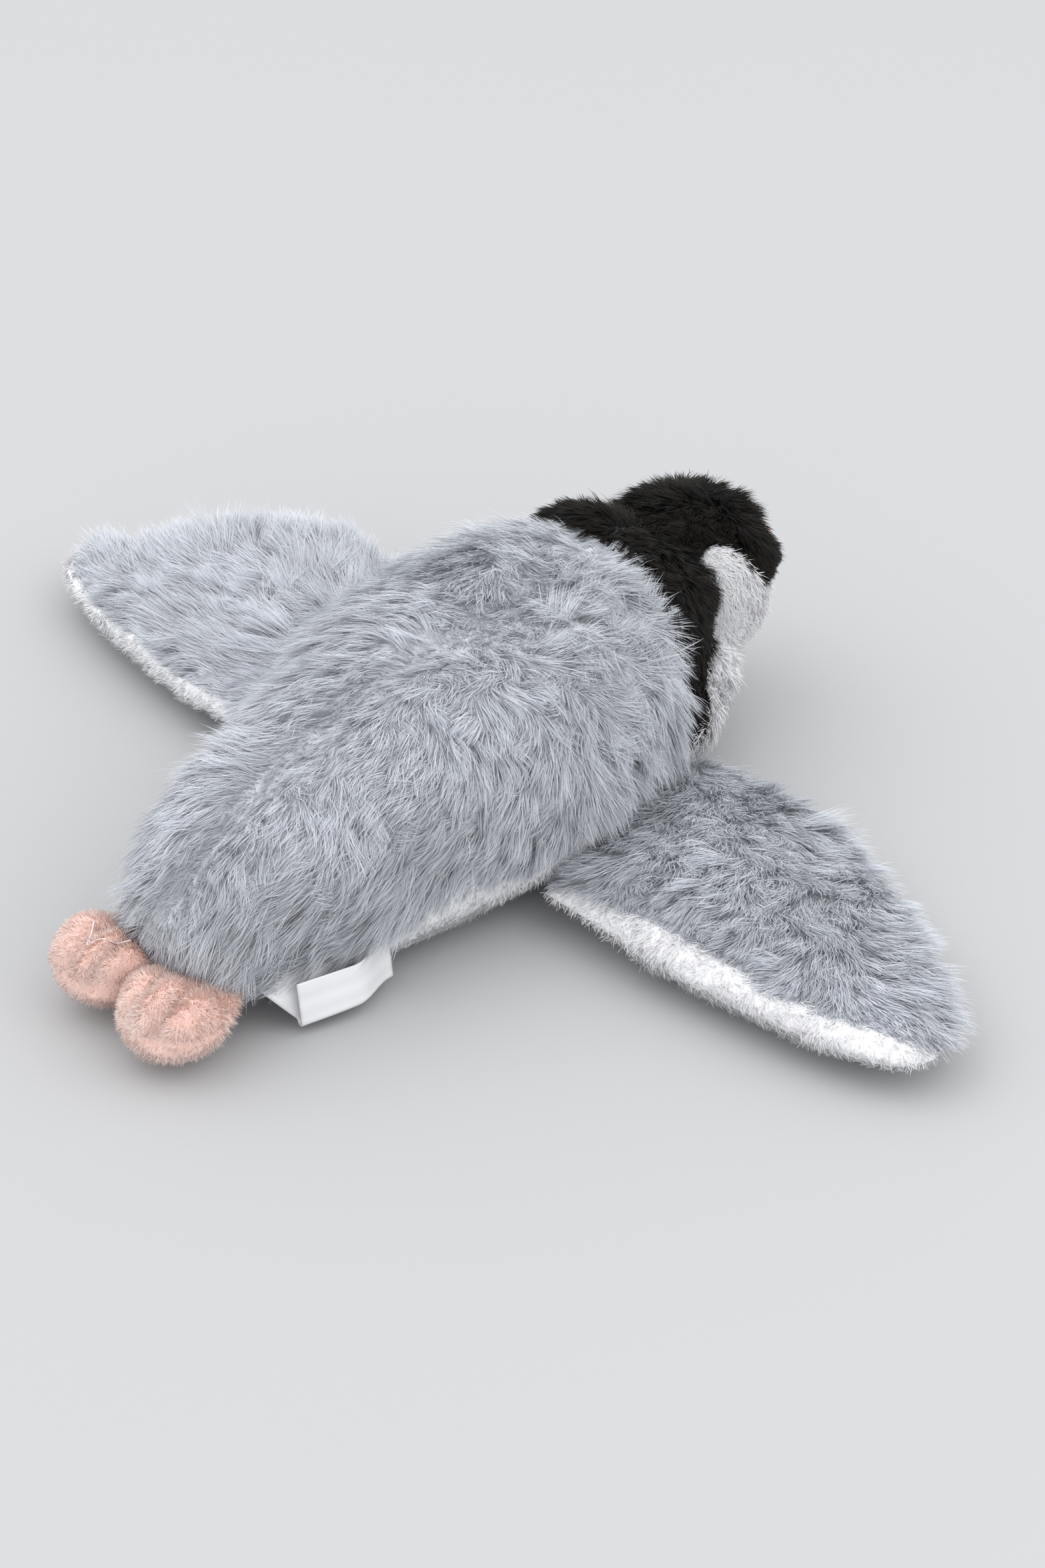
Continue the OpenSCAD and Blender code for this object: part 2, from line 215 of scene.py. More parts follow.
def puff(skin, sewn, look):
    before = pointsOf(skin)
    activate(skin)
    group = skin.vertex_groups.new(name="sewn")
    group.add([int(i) for i in np.flatnonzero(sewn)], 1.0, "REPLACE")
    cloth = skin.modifiers.new("cloth", "CLOTH")
    cloth.settings.quality = 5
    cloth.settings.mass = 0.25
    cloth.settings.tension_stiffness = look["stretch"]
    cloth.settings.compression_stiffness = look["stretch"]
    cloth.settings.shear_stiffness = look["stretch"] / 2
    cloth.settings.bending_stiffness = look["bend"]
    cloth.settings.use_pressure = True
    cloth.settings.uniform_pressure_force = look["pressure"]
    cloth.settings.vertex_group_mass = "sewn"
    cloth.settings.effector_weights.gravity = 0
    cloth.point_cache.frame_end = look["frames"]
    scene = bpy.context.scene
    for step in range(1, look["frames"] + 1):
        scene.frame_set(step)
    shown = skin.evaluated_get(bpy.context.evaluated_depsgraph_get())
    after = np.empty(len(shown.data.vertices) * 3)
    shown.data.vertices.foreach_get("co", after)
    skin.modifiers.remove(cloth)
    skin.vertex_groups.clear()
    scene.frame_set(1)
    move = after.reshape(-1, 3) - before
    size = np.linalg.norm(move, axis=1, keepdims=True)
    move *= np.minimum(1, look["most"] / np.maximum(size, 1e-9))
    placed = before + move
    placed[:, 2] = np.maximum(placed[:, 2], look.get("floor", 0.0))
    placePoints(skin, placed)


# Pile: strands that grow out of a skin, lie the way the fabric is brushed and gather in locks

strandSteps = (0.0, 0.4, 0.75, 1.0)  # where each strand bends, from root to tip
strandWidths = (1.0, 0.95, 0.65, 0.0)
strandPoints = 7
looseShare = 0.05  # strands that stand up out of the rest


def sow(skin, split, panel, strands, rng):
    mesh = skin.data
    mesh.calc_loop_triangles()
    corners = np.empty(len(mesh.loop_triangles) * 3, np.int32)
    mesh.loop_triangles.foreach_get("vertices", corners)
    corners = corners.reshape(-1, 3)
    places, normals = pointsOf(skin), normalsOf(skin)
    share = split["shares"][:, split["panels"].index(panel)]
    a, b, c = (places[corners[:, i]] for i in range(3))
    size = np.linalg.norm(np.cross(b - a, c - a), axis=1)
    shown = 1.0 - split["hidden"][corners].mean(1) if "hidden" in split else 1.0
    chance = size * (share[corners].max(1) > 0.2) * shown
    found = rng.choice(len(corners), int(strands * 1.25), p=chance / chance.sum())
    u, v = rng.random(len(found)), rng.random(len(found))
    over = u + v > 1
    u[over], v[over] = 1 - u[over], 1 - v[over]
    weights = np.stack([1 - u - v, u, v], 1)[:, :, None]
    roots = (places[corners[found]] * weights).sum(1)
    up = unit((normals[corners[found]] * weights).sum(1))
    shares = (split["shares"][corners[found]] * weights).sum(1)
    shares[:, split["panels"].index(panel)] += rng.normal(0, 0.03, len(found))
    mine = shares.argmax(1) == split["panels"].index(panel)
    return roots[mine][:strands], up[mine][:strands]


def turned(vectors, axis, angle):
    angle = angle[:, None]
    return vectors * np.cos(angle) + np.cross(axis, vectors) * np.sin(angle)


def growPile(name, body, skin, split, panel, look):
    seed = look["seed"]
    rng = np.random.default_rng(seed)
    roots, up = sow(skin, split, panel, look["strands"], rng)
    count = len(roots)
    gap = seamGap(split["seam"], roots) if len(set(split["slots"])) > 1 else np.ones(count)
    wild = look["wild"](roots) if "wild" in look else np.zeros(count)
    lie = along(look["comb"](roots, up), up)
    swirl = ripple(roots, look["swirlSize"], seed + 1) * look["swirl"]
    swirl += ripple(roots, look["swirlSize"] / 3, seed + 2) * (0.5 * look["swirl"] + wild)
    lie = turned(lie, up, swirl)

    lockCount = max(8, int(count / look["perLock"]))
    chief = rng.choice(count, lockCount, replace=False)
    tree = KDTree(lockCount)
    for index, root in enumerate(chief):
        tree.insert(roots[root], index)
    tree.balance()
    lock = np.array([tree.find(root)[1] for root in roots])
    lead = chief[lock]

    lockTurn = rng.normal(0, look["lockTurn"], lockCount)[lock] * (1 + 2.5 * wild)
    lie = turned(lie, up, lockTurn + rng.normal(0, look["strandTurn"], count))
    lockLift = rng.uniform(-1, 1, lockCount)[lock]
    lift = look["lift"] * (1 + 0.35 * lockLift + 0.2 * rng.uniform(-1, 1, count))
    loose = rng.random(count) < looseShare
    lift = np.clip(lift + 0.12 * wild + 0.25 * loose, 0.1, 0.97)
    lean = np.sqrt(1 - lift ** 2)
    length = look["length"] * (1 + look["uneven"] * rng.uniform(-1, 1, count))
    length *= 1 + 0.12 * ripple(roots, 0.03, seed + 3) + 0.1 * lockLift - 0.2 * wild
    if "trim" in look:
        length *= look["trim"](roots, up, gap)

    bend = unit(rng.normal(size=(count, 3))) * look["stray"]
    rows = []
    for t in strandSteps:
        height = (length * lift * (1.3 * t - 0.3 * t * t))[:, None]
        reach = (length * lean * t ** 1.35)[:, None]
        place = roots + up * height + lie * reach
        ahead = roots[lead] + up[lead] * height[lead] + lie[lead] * reach[lead]
        gather = look["gather"] * (1 - 0.45 * np.minimum(wild, 1))[:, None] * t ** 1.3
        place = place + (ahead - place) * gather + bend * length[:, None] * t
        place[:, 2] = np.maximum(place[:, 2], 0.0005)
        rows.append(place)

    width = look["width"] * rng.uniform(0.6, 1.3, count) / 2
    roll = np.clip(rng.normal(0, look["roll"], count), -1.0, 1.0)
    verts, normals = [], []
    for level, share in enumerate(strandWidths):
        ahead = rows[min(level + 1, 3)] - rows[max(level - 1, 0)]
        tangent = unit(ahead)
        across = unit(np.cross(tangent, up))
        facing = np.cross(across, tangent)
        side = across * np.cos(roll)[:, None] + facing * np.sin(roll)[:, None]
        face = facing * np.cos(roll)[:, None] - across * np.sin(roll)[:, None]
        normal = unit(up * look["softness"] + face * (1 - look["softness"]))
        half = width * share
        if level < 3:
            verts += [rows[level] - side * half[:, None], rows[level] + side * half[:, None]]
            normals += [normal, normal]
        else:
            verts.append(rows[level])
            normals.append(normal)
    verts = np.stack(verts, 1)  # strand by strand
    verts[:, :, 2] = np.maximum(verts[:, :, 2], 0.0003)
    normals = np.stack(normals, 1)

    tone = 0.5 + look["patchy"] * ripple(roots, 0.05, seed + 4)
    tone += look["lockTone"] * rng.normal(0, 1, lockCount)[lock]
    tone += look["hairTone"] * rng.normal(0, 1, count)
    if "shade" in look:
        tone += look["shade"](roots, up)
    tone = np.clip(tone, 0.03, 0.97)
    tones = np.stack([tone - 0.012, tone + 0.012] * 3 + [tone], 1)
    lengths = np.tile(np.repeat(strandSteps, 2)[:strandPoints] * 0.94 + 0.03, (count, 1))

    base = np.arange(count)[:, None] * strandPoints
    quads = np.concatenate([base + [0, 1, 3, 2], base + [2, 3, 5, 4]])
    tips = base + [4, 5, 6]
    corners = np.concatenate([quads.ravel(), tips.ravel()]).astype(np.int32)
    starts = np.concatenate([np.arange(len(quads)) * 4, len(quads) * 4 + np.arange(len(tips)) * 3])
    mesh = bpy.data.meshes.new(name)
    mesh.vertices.add(count * strandPoints)
    mesh.vertices.foreach_set("co", verts.ravel())
    mesh.loops.add(len(corners))
    mesh.loops.foreach_set("vertex_index", corners)
    mesh.polygons.add(len(starts))
    mesh.polygons.foreach_set("loop_start", starts.astype(np.int32))
    mesh.polygons.foreach_set("use_smooth", np.ones(len(starts), bool))
    mesh.update(calc_edges=True)
    spots = np.stack([tones.ravel(), lengths.ravel()], 1)[corners]
    for layer in ("pile", "OFBake"):  # tone across, root to tip upwards
        mesh.uv_layers.new(name=layer).uv.foreach_set("vector", spots.ravel())
    mesh.normals_split_custom_set_from_vertices(normals.reshape(-1, 3).tolist())
    mesh.materials.append(look["material"])
    piece = bpy.data.objects.new(name, mesh)
    bpy.context.collection.objects.link(piece)
    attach(piece, body)
    print("pile", name, count, "strands")
    return piece


# Materials

class Wire:  # a socket that takes part in sums
    def __init__(self, graph, socket):
        self.graph = graph
        self.socket = socket

    def calc(self, operation, *values):
        return self.graph.node("ShaderNodeMath", {"operation": operation}, *values)

    def __add__(self, other):
        return self.calc("ADD", self, other)

    def __radd__(self, other):
        return self.calc("ADD", other, self)

    def __sub__(self, other):
        return self.calc("SUBTRACT", self, other)

    def __rsub__(self, other):
        return self.calc("SUBTRACT", other, self)

    def __mul__(self, other):
        return self.calc("MULTIPLY", self, other)

    def __rmul__(self, other):
        return self.calc("MULTIPLY", other, self)

    def __pow__(self, other):
        return self.calc("POWER", self, other)


class Graph:  # one material's nodes
    def __init__(self, name):
        self.material = bpy.data.materials.new(name)
        self.material.use_nodes = True
        self.tree = self.material.node_tree
        self.shader = self.tree.nodes["Principled BSDF"]

    def node(self, kind, settings, *values, out=0, **named):
        made = self.tree.nodes.new(kind)
        for key, value in settings.items():
            setattr(made, key, value)
        inputs = [(made.inputs[i], value) for i, value in enumerate(values)]
        inputs += [(made.inputs[key.replace("_", " ")], value) for key, value in named.items()]
        for socket, value in inputs:
            self.feed(socket, value)
        return Wire(self, made.outputs[out])

    def feed(self, socket, value):
        if isinstance(value, Wire):
            self.tree.links.new(value.socket, socket)
        elif value is not None:
            socket.default_value = value

    def colours(self, part, first, second):
        made = self.tree.nodes.new("ShaderNodeMix")
        made.data_type = "RGBA"
        self.feed(made.inputs["Factor"], part)
        for name, value in (("A", first), ("B", second)):
            socket = [s for s in made.inputs if s.name == name and s.type == "RGBA"][0]
            self.feed(socket, value if isinstance(value, Wire) else (*value, 1.0))
        return Wire(self, [s for s in made.outputs if s.type == "RGBA"][0])

    def place(self):
        return self.node("ShaderNodeTexCoord", {}, out=3)

    def noise(self, scale, detail=3.0):
        return self.node("ShaderNodeTexNoise", {}, Vector=self.place(), Scale=scale, Detail=detail,
                         Roughness=0.55)

    def bump(self, height, strength, distance):
        return self.node("ShaderNodeBump", {}, Strength=strength, Distance=distance, Height=height)

    def finish(self, colour=None, normal=None, **fixed):
        if colour is not None:
            self.feed(self.shader.inputs["Base Color"], colour)
        if normal is not None:
            self.feed(self.shader.inputs["Normal"], normal)
        for key, value in fixed.items():
            self.shader.inputs[key.replace("_", " ")].default_value = value
        return self.material


def pileMaterial(name, look):
    graph = Graph(name)
    spot = graph.node("ShaderNodeUVMap", {"uv_map": "pile"})
    tone = graph.node("ShaderNodeSeparateXYZ", {}, spot, out=0)
    height = graph.node("ShaderNodeSeparateXYZ", {}, spot, out=1)
    root = graph.colours(tone, look["rootDark"], look["rootLight"])
    tip = graph.colours(tone, look["tipDark"], look["tipLight"])
    # darker at the roots than at the tips: painted shade deep in the pile
    colour = graph.colours(height ** look["rise"], root, tip)
    graph.finish(colour, Roughness=look["roughness"], Sheen_Weight=look["sheen"],
                 Sheen_Roughness=0.5, Specular_IOR_Level=look["gloss"])
    through = graph.node("ShaderNodeBsdfTranslucent", {}, colour)  # light passes through the hairs
    front = Wire(graph, graph.shader.outputs[0])
    both = graph.node("ShaderNodeMixShader", {}, look["through"], front, through)
    graph.feed(graph.tree.nodes["Material Output"].inputs["Surface"], both)
    return graph.material


def skinMaterial(name, light, dark, grain):
    graph = Graph(name)
    cloud = graph.noise(60.0, 4.0)
    fine = graph.noise(grain, 2.0)
    colour = graph.colours(cloud * 0.6 + fine * 0.4, dark, light)
    normal = graph.bump(fine, 0.5, 0.0006)
    return graph.finish(colour, normal, Roughness=0.9, Sheen_Weight=0.4, Specular_IOR_Level=0.2)


# each pile's root colours are darker than its tip colours: painted shade deep in the pile
greyPile = pileMaterial("greyLongPile", {
    "rootDark": (0.27, 0.275, 0.295), "rootLight": (0.44, 0.455, 0.485),
    "tipDark": (0.52, 0.54, 0.58), "tipLight": (0.82, 0.845, 0.90),
    "rise": 0.75, "roughness": 0.6, "sheen": 0.2, "gloss": 0.25, "through": 0.3})
blackPile = pileMaterial("blackShortPile", {
    "rootDark": (0.005, 0.0045, 0.004), "rootLight": (0.009, 0.008, 0.007),
    "tipDark": (0.010, 0.009, 0.008), "tipLight": (0.024, 0.021, 0.019),
    "rise": 1.2, "roughness": 0.7, "sheen": 0.03, "gloss": 0.12, "through": 0.2})
whitePile = pileMaterial("whiteShortPlush", {
    "rootDark": (0.66, 0.66, 0.67), "rootLight": (0.74, 0.74, 0.755),
    "tipDark": (0.74, 0.74, 0.755), "tipLight": (0.89, 0.89, 0.905),
    "rise": 0.6, "roughness": 0.85, "sheen": 0.2, "gloss": 0.15, "through": 0.25})
pinkPile = pileMaterial("pinkShortPlush", {
    "rootDark": (0.99, 0.68, 0.58), "rootLight": (0.99, 0.74, 0.66),
    "tipDark": (1.0, 0.78, 0.71), "tipLight": (1.0, 0.90, 0.86),
    "rise": 0.7, "roughness": 0.85, "sheen": 0.5, "gloss": 0.15, "through": 0.25})
greySkin = skinMaterial("greyBacking", (0.56, 0.575, 0.61), (0.46, 0.47, 0.50), 900.0)
blackSkin = skinMaterial("blackBacking", (0.010, 0.009, 0.009), (0.005, 0.005, 0.005), 900.0)
whiteSkin = skinMaterial("whiteBacking", (0.82, 0.82, 0.83), (0.76, 0.76, 0.77), 1200.0)
pinkSkin = skinMaterial("pinkBacking", (0.99, 0.74, 0.66), (0.985, 0.68, 0.59), 1200.0)


def satinMaterial():
    graph = Graph("satinRibbon")
    spot = graph.node("ShaderNodeUVMap", {"uv_map": "ribbon"})
    run = graph.node("ShaderNodeSeparateXYZ", {}, spot, out=0)
    rib = graph.node("ShaderNodeMath", {"operation": "SINE"}, run * 900.0)
    streak = graph.noise(140.0, 2.0)
    # ribs and streaks made lighter and darker in the colour: painted sheen across the weave
    sheen = 0.5 + 0.18 * rib + 0.3 * (streak - 0.5)
    colour = graph.colours(sheen, (0.56, 0.565, 0.58), (0.68, 0.68, 0.70))
    normal = graph.bump(rib * 0.3 + streak, 0.25, 0.0003)
    return graph.finish(colour, normal, Roughness=0.32, Specular_IOR_Level=0.6,
                        Sheen_Weight=0.2, Anisotropic=0.5)


def eyeMaterial():
    graph = Graph("polishedEye")
    speck = graph.noise(800.0, 2.0)
    colour = graph.colours(speck, (0.004, 0.004, 0.004), (0.010, 0.009, 0.009))
    return graph.finish(colour, Roughness=0.08, Coat_Weight=0.6, Coat_Roughness=0.05)


def threadMaterial(name, light, dark):
    graph = Graph(name)
    twist = graph.node("ShaderNodeTexWave", {"bands_direction": "DIAGONAL"},
                       Vector=graph.place(), Scale=600.0)
    # darker in the grooves of the twist: painted shade between the plies
    colour = graph.colours(twist, dark, light)
    return graph.finish(colour, graph.bump(twist, 0.6, 0.0002), Roughness=0.7, Sheen_Weight=0.3)


def washerMaterial():
    graph = Graph("mouldedWasher")
    grain = graph.noise(500.0, 3.0)
    colour = graph.colours(grain, (0.72, 0.72, 0.70), (0.82, 0.82, 0.80))
    return graph.finish(colour, graph.bump(grain, 0.2, 0.0002), Roughness=0.45)


def dress(node, material):
    mesh = frame["nodes"][node]
    if not mesh.material_slots:
        mesh.data.materials.append(material)
    for slot in mesh.material_slots:
        slot.material = material


def dressSkin(skin, split, fabrics):
    for fabric in fabrics:
        skin.data.materials.append(fabric)
    owner = split["owner"]
    index = [int(owner[polygon.vertices[0]]) for polygon in skin.data.polygons]
    slots = np.array([split["slots"][i] for i in index], np.int32)
    skin.data.polygons.foreach_set("material_index", slots)
    split["seam"] = seamTree(skin, np.array(split["slots"])[owner])
    activate(skin)
    bpy.ops.object.shade_smooth()


# The body

bodyLook = {
    "voxel": 4.0 * mm, "rounds": 3,
    "longInset": 4.5 * mm, "shortInset": 2.2 * mm, "neckInset": 0.5 * mm, "lowNeckInset": 3.0 * mm,
    "crease": 0.0 * mm, "creaseWidth": 10 * mm, "creaseDepth": 5.0 * mm, "rumpDepth": 9 * mm,
    "foldDepth": 4.5 * mm, "wrap": 10 * mm, "neckWrap": 4.5 * mm, "napeFull": 2.2 * mm,
    "throatFull": 5.0 * mm, "coreInset": 10 * mm, "floor": 2.2 * mm,
    "swell": (  # how far out, round which place, how wide
        (3.5 * mm, (-0.045, 0.055, 0.07), (0.04, 0.05, 0.05)),  # the far shoulder is fuller
        (-9.0 * mm, (-0.056, -0.090, 0.062), (0.036, 0.055, 0.05)),  # the far flank is slimmer
        (4.5 * mm, (0, -0.165, 0.02), (0.07, 0.03, 0.03)),  # the rump is full above the feet
    ),
    "puff": {"pressure": 3.0, "stretch": 12, "bend": 2.0, "frames": 16, "most": 3 * mm,
             "floor": 2.2 * mm},
}
bodyPanels = ["back_panel_left", "back_panel_right", "belly_panel",
              "neck_band_left", "neck_band_right", "throat_panel"]
headPanels = ["head_cap_left", "head_cap_right", "cheek_left", "cheek_right"]


def nearCrease(places, reach):
    near = np.exp(-((places[:, 0] - bodyLook["crease"]) / reach) ** 2)
    return near * smoothStep(-places[:, 1], -0.07, 0.02) * smoothStep(places[:, 2], 0.02, 0.05)


def nearFold(places, reach):  # two soft folds behind the left flipper
    fold = np.zeros(len(places))
    for y in (-0.052, -0.098):
        fold += np.exp(-((places[:, 1] - y - 0.35 * (places[:, 0] + 0.04)) / reach) ** 2)
    return fold * smoothStep(-places[:, 0], 0.008, 0.03) * smoothStep(places[:, 2], 0.03, 0.055)


def makeBodySkin(look):
    skin = castSkin("body_skin", bodyPanels + ["body_stuffing", "head_stuffing"] + headPanels,
                    look["voxel"], look["rounds"])

    def recut(owner, spots, gap):  # white comes up the flanks, grey goes under the rump
        band = smoothStep(spots[:, 1], -0.115, -0.09) * smoothStep(-spots[:, 1], -0.06, -0.02)
        band *= look["wrap"] * (1 + 0.15 * ripple(spots, 0.05, 3))
        rump = (spots[:, 1] < -0.13) & (spots[:, 2] > 5 * mm) & (owner == 2)
        owner = np.where((gap < band) & (owner < 2), 2, owner)
        neck = (gap < look["neckWrap"]) & (owner < 2) & (spots[:, 1] > 0.045) & (spots[:, 2] > 0.03)
        owner = np.where(neck, owner + 3, owner)
        return np.where(rump, np.where(spots[:, 0] > look["crease"], 1, 0), owner)

    split = splitPanels(skin, bodyPanels, [0, 0, 2, 1, 1, 2], recut)
    places, normals = pointsOf(skin), normalsOf(skin)
    fromHead = np.linalg.norm(places - headCentre, axis=1)
    inside = 1 - smoothStep(fromHead, headRadius + 0.5 * mm, headRadius + 3 * mm)
    short = split["shares"][:, 2] + split["shares"][:, 5]
    black = split["shares"][:, 3] + split["shares"][:, 4]
    nape = look["neckInset"] + look["lowNeckInset"] * (1 - smoothStep(places[:, 2], 0.058, 0.078))
    behind = 1 - smoothStep(places[:, 1], 0.080, 0.094)
    farTop = smoothStep(-places[:, 0], -0.01, 0.01)
    nape -= look["napeFull"] * farTop * smoothStep(places[:, 2], 0.06, 0.08) * behind
    inset = look["longInset"] * (1 - short - black) + look["shortInset"] * short + nape * black
    for out, centre, size in look["swell"]:
        inset -= out * blob(places, centre, size)
    inset -= look["throatFull"] * split["shares"][:, 5]
    places -= normals * inset[:, None]
    # the part inside the head is drawn in, so that the head's own skin covers it
    core = headCentre + unit(places - headCentre) * (headRadius - look["coreInset"])
    places += (core - places) * inside[:, None]
    # the seam along the back lies in a crease that deepens towards the rump
    rump = smoothStep(-places[:, 1], 0.08, 0.15)
    depth = look["creaseDepth"] + (look["rumpDepth"] - look["creaseDepth"]) * rump
    crease = np.exp(-((places[:, 0] - look["crease"]) / look["creaseWidth"]) ** 2)
    crease *= smoothStep(places[:, 2], 0.032, 0.055) * smoothStep(-places[:, 1], -0.07, -0.04)
    places -= normals * (depth * crease)[:, None]
    places -= normals * (look["foldDepth"] * nearFold(places, 7 * mm))[:, None]
    places[:, 2] = np.maximum(places[:, 2], look["floor"])
    placePoints(skin, places)
    lying = places[:, 2] < 2.6 * mm  # stays flat on the table
    puff(skin, sewnPoints(skin, split["owner"]) | (inside > 0.3) | lying, look["puff"])
    dressSkin(skin, split, [greySkin, blackSkin, whiteSkin])
    split["hidden"] = (inside > 0.5) * 1.0
    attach(skin, "torso")
    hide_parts("body_stuffing", *bodyPanels)
    return skin, split


def brushBack(places, up):
    right = smoothStep(places[:, 0] - bodyLook["crease"], -5 * mm, 5 * mm)
    y = places[:, 1]
    low = 1 - smoothStep(places[:, 2], 0.03, 0.07)
    foreRight = np.interp(y, [-0.08, -0.03, 0.02, 0.06, 0.085], [-1.0, -0.7, -0.15, 0.5, 1.0])
    fallRight = np.interp(y, [-0.14, -0.06, 0.0, 0.05, 0.08], [0.55, 0.55, 1.0, 0.9, 0.5])
    foreLeft = np.interp(y, [0.02, 0.07, 0.095], [-1.0, -0.2, 1.0])
    fore = foreLeft + (foreRight - foreLeft) * right
    outLeft = 0.15 + 0.6 * nearCrease(places, 14 * mm)
    out = outLeft + (0.6 * fallRight - outLeft) * right
    down = 0.45 + 0.35 * low + (0.8 * fallRight - 0.45 - 0.35 * low) * right
    return np.stack([(2 * right - 1) * out, fore, -down], 1)


def mattedBack(places):
    return (0.9 * blob(places, (0.022, 0.030, 0.088), (0.030, 0.034, 0.03))
            + 0.7 * blob(places, (0.010, -0.015, 0.092), (0.020, 0.020, 0.03))
            + 0.5 * blob(places, (0.045, 0.010, 0.075), (0.02, 0.03, 0.03)))


def shadeBack(places, up):
    rump = 0.8 + 0.7 * smoothStep(-places[:, 1], 0.08, 0.14)
    shoulder = blob(places, (0.045, 0.045, 0.075), (0.04, 0.04, 0.04))
    # lighter on faces turned up: painted light; darker at the shoulder: painted shade; darker over the
    # matted patches
    tone = 0.06 * up[:, 2] - 0.08 * mattedBack(places) - 0.10 * shoulder
    # darker in the two folds: painted shade
    tone -= 0.28 * nearFold(places, 3.5 * mm)
    # darker along the back's crease, more towards the rump: painted shade
    return tone - 0.55 * rump * nearCrease(places, 6 * mm)


def trimBack(places, up, gap):
    low = 1 - smoothStep(places[:, 2], 0.03, 0.05)  # short above the belly seam, under the flank
    low *= smoothStep(places[:, 1], -0.10, -0.085)
    front = smoothStep(places[:, 1], 0.045, 0.06)  # and along the neck
    edge = 1 - 0.68 * np.maximum(low, front) * (1 - smoothStep(gap, 0.0, 15 * mm))
    return edge * (1 - 0.7 * nearCrease(places, 8 * mm)) * (1 - 0.4 * nearFold(places, 5 * mm))


bodySkin, bodySplit = makeBodySkin(bodyLook)
print("stage body skin")

backPile = {
    "material": greyPile, "slot": "grey_long_pile", "strands": 39900, "comb": brushBack,
    "length": 14 * mm, "uneven": 0.35, "width": 0.25 * mm, "lift": 0.36, "perLock": 36,
    "lockTurn": 0.24, "strandTurn": 0.26, "gather": 0.42, "stray": 0.11, "roll": 0.5,
    "swirl": 0.32, "swirlSize": 0.06, "softness": 0.75, "patchy": 0.09, "lockTone": 0.08,
    "hairTone": 0.18, "wild": mattedBack, "shade": shadeBack, "trim": trimBack}
for side, seed in (("left", 11), ("right", 21)):
    growPile("back_pile_" + side, "torso", bodySkin, bodySplit, "back_panel_" + side,
             {**backPile, "seed": seed})


def trimNeck(places, up, gap):
    return 0.75 + 0.25 * smoothStep(places[:, 2], 0.05, 0.07)


def combed(places, out, fore, rise):  # one way all over, and out to either side
    side = np.sign(places[:, 0] - headCentre[0])
    return np.stack([side * out, np.full(len(side), fore), np.full(len(side), rise)], 1)


def brushNeck(places, up):
    return combed(places, 0.5, -0.25, -0.9)


neckPile = {
    "material": blackPile, "slot": "black_short_pile", "strands": 15000, "comb": brushNeck,
    "length": 8 * mm, "uneven": 0.3, "width": 0.36 * mm, "lift": 0.36, "perLock": 24,
    "lockTurn": 0.3, "strandTurn": 0.25, "gather": 0.45, "stray": 0.10, "roll": 0.5,
    "swirl": 0.4, "swirlSize": 0.04, "softness": 0.6, "patchy": 0.08, "lockTone": 0.10,
    "hairTone": 0.12, "trim": trimNeck}
for side, seed in (("left", 31), ("right", 41)):
    growPile("neck_pile_" + side, "torso", bodySkin, bodySplit, "neck_band_" + side,
             {**neckPile, "seed": seed})


def brushBelly(places, up):
    return combed(places, 0.5, -0.8, -0.5)


bellyPile = {
    "material": whitePile, "slot": "white_short_plush", "strands": 30000, "comb": brushBelly,
    "length": 3.6 * mm, "uneven": 0.3, "width": 0.34 * mm, "lift": 0.4, "perLock": 18,
    "lockTurn": 0.4, "strandTurn": 0.5, "gather": 0.1, "stray": 0.14, "roll": 0.5,
    "swirl": 0.5, "swirlSize": 0.03, "softness": 0.95, "patchy": 0.08, "lockTone": 0.02,
    "hairTone": 0.08}
growPile("belly_pile", "torso", bodySkin, bodySplit, "belly_panel", {**bellyPile, "seed": 51})
growPile("throat_pile", "torso", bodySkin, bodySplit, "throat_panel",
         {**bellyPile, "strands": 15000, "length": 6 * mm, "seed": 61})
print("stage body pile")


# The head

headLook = {
    "voxel": 2.2 * mm, "rounds": 3, "capInset": 4.2 * mm, "cheekInset": 2.6 * mm,
    "crownInset": 3.0 * mm, "napeFull": 3.0 * mm, "jowlFull": 2.5 * mm, "farCheekDrop": 7 * mm,
    "puff": {"pressure": 4.0, "stretch": 12, "bend": 1.5, "frames": 14, "most": 1.6 * mm},
}


def makeHeadSkin(look):
    skin = castSkin("head_skin", headPanels + ["head_stuffing"], look["voxel"], look["rounds"])

    def recut(owner, spots, gap):  # the far cheek starts lower
        upper = (owner == 2) & (spots[:, 2] > headCentre[2] - 2 * mm)
        return np.where(upper & (gap < look["farCheekDrop"]), 0, owner)

    split = splitPanels(skin, headPanels, [0, 0, 1, 1], recut)
    places = pointsOf(skin)
    fromCentre = places - headCentre
    reach = np.linalg.norm(fromCentre, axis=1, keepdims=True)
    cheek = split["shares"][:, 2:].sum(1, keepdims=True)
    inset = look["capInset"] * (1 - cheek) + look["cheekInset"] * cheek
    inset *= spareFace(places, None, None)[:, None] ** 0.7  # the eyes sit in shallow pile
    inset -= look["napeFull"] * smoothStep(-(fromCentre @ headForward)[:, None] / reach, 0.35, 0.8)
    inset -= look["jowlFull"] * cheek * smoothStep(-fromCentre[:, 2:] / reach, 0.1, 0.6)
    reach = np.maximum(reach, headRadius - 0.5 * mm) - inset  # the washers' pockets are filled
    reach -= look["crownInset"] * smoothStep(unit(fromCentre)[:, 2:], 0.6, 0.95)
    places = headCentre + unit(fromCentre) * reach
    placePoints(skin, places)
    puff(skin, sewnPoints(skin, split["owner"]), look["puff"])
    dressSkin(skin, split, [blackSkin, whiteSkin])
    tree = surfaceOf(bodySkin)
    hidden = []
    for point in pointsOf(skin):
        spot, normal, face, gap = tree.find_nearest(Vector(point))
        hidden.append(1.0 if (Vector(point) - spot).dot(normal) < -1.5 * mm else 0.0)
    split["hidden"] = np.array(hidden)
    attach(skin, "head")
    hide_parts("head_stuffing", *headPanels)
    return skin, split


def inHead(places):
    local = places - headCentre
    return np.stack([local @ headRight, local @ headForward, local[:, 2]], 1)


